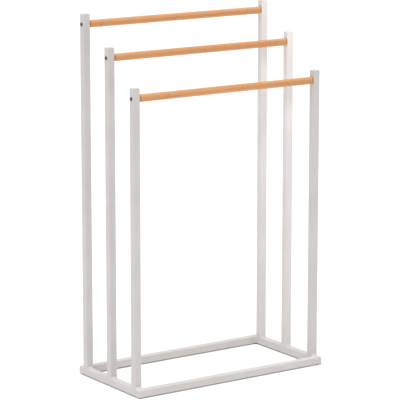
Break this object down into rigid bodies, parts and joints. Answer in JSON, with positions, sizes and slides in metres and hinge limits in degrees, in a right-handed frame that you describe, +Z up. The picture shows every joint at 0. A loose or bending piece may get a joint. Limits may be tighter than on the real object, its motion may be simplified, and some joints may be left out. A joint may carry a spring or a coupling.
{
  "type": "towel rack",
  "caption": "Free-standing towel rack: a rectangular tube base, square-tube posts that step up from front to back, and round bamboo rods between them.",
  "frame": {"origin": "on the floor under the middle of the base", "axes": "+X to the right as seen from the front, the front faces -Y, +Z up"},
  "size_m": [0.6054, 0.3, 0.988],
  "materials": {
    "powder_coat": "satin white powder coat, fine texture",
    "white_plastic": "moulded, satin",
    "bamboo": "clear matt lacquer, fine lengthwise grain",
    "dark_steel": "black oxide",
    "zinc_steel": "zinc plated",
    "foot_pad": "matt grey"
  },
  "bodies": {
    "root": {"front_rail": "powder_coat", "rear_rail": "powder_coat", "left_side_rail": "powder_coat", "right_side_rail": "powder_coat", "front_left_rail_plug": "white_plastic", "front_left_corner_weld": "powder_coat", "front_left_foot_pad": "foot_pad", "front_right_rail_plug": "white_plastic", "front_right_corner_weld": "powder_coat", "front_right_foot_pad": "foot_pad", "rear_left_rail_plug": "white_plastic", "rear_left_corner_weld": "powder_coat", "rear_left_foot_pad": "foot_pad", "rear_right_rail_plug": "white_plastic", "rear_right_corner_weld": "powder_coat", "rear_right_foot_pad": "foot_pad", "left_front_post": "powder_coat", "left_front_post_cap": "white_plastic", "left_front_post_weld": "powder_coat", "right_front_post": "powder_coat", "right_front_post_cap": "white_plastic", "right_front_post_weld": "powder_coat", "front_rod": "bamboo", "left_middle_post": "powder_coat", "left_middle_post_cap": "white_plastic", "left_middle_post_weld": "powder_coat", "right_middle_post": "powder_coat", "right_middle_post_cap": "white_plastic", "right_middle_post_weld": "powder_coat", "middle_rod": "bamboo", "left_rear_post": "powder_coat", "left_rear_post_cap": "white_plastic", "left_rear_post_weld": "powder_coat", "right_rear_post": "powder_coat", "right_rear_post_cap": "white_plastic", "right_rear_post_weld": "powder_coat", "rear_rod": "bamboo", "rod_bolts": "dark_steel", "rod_inserts": "zinc_steel"}
  },
  "joints": []
}
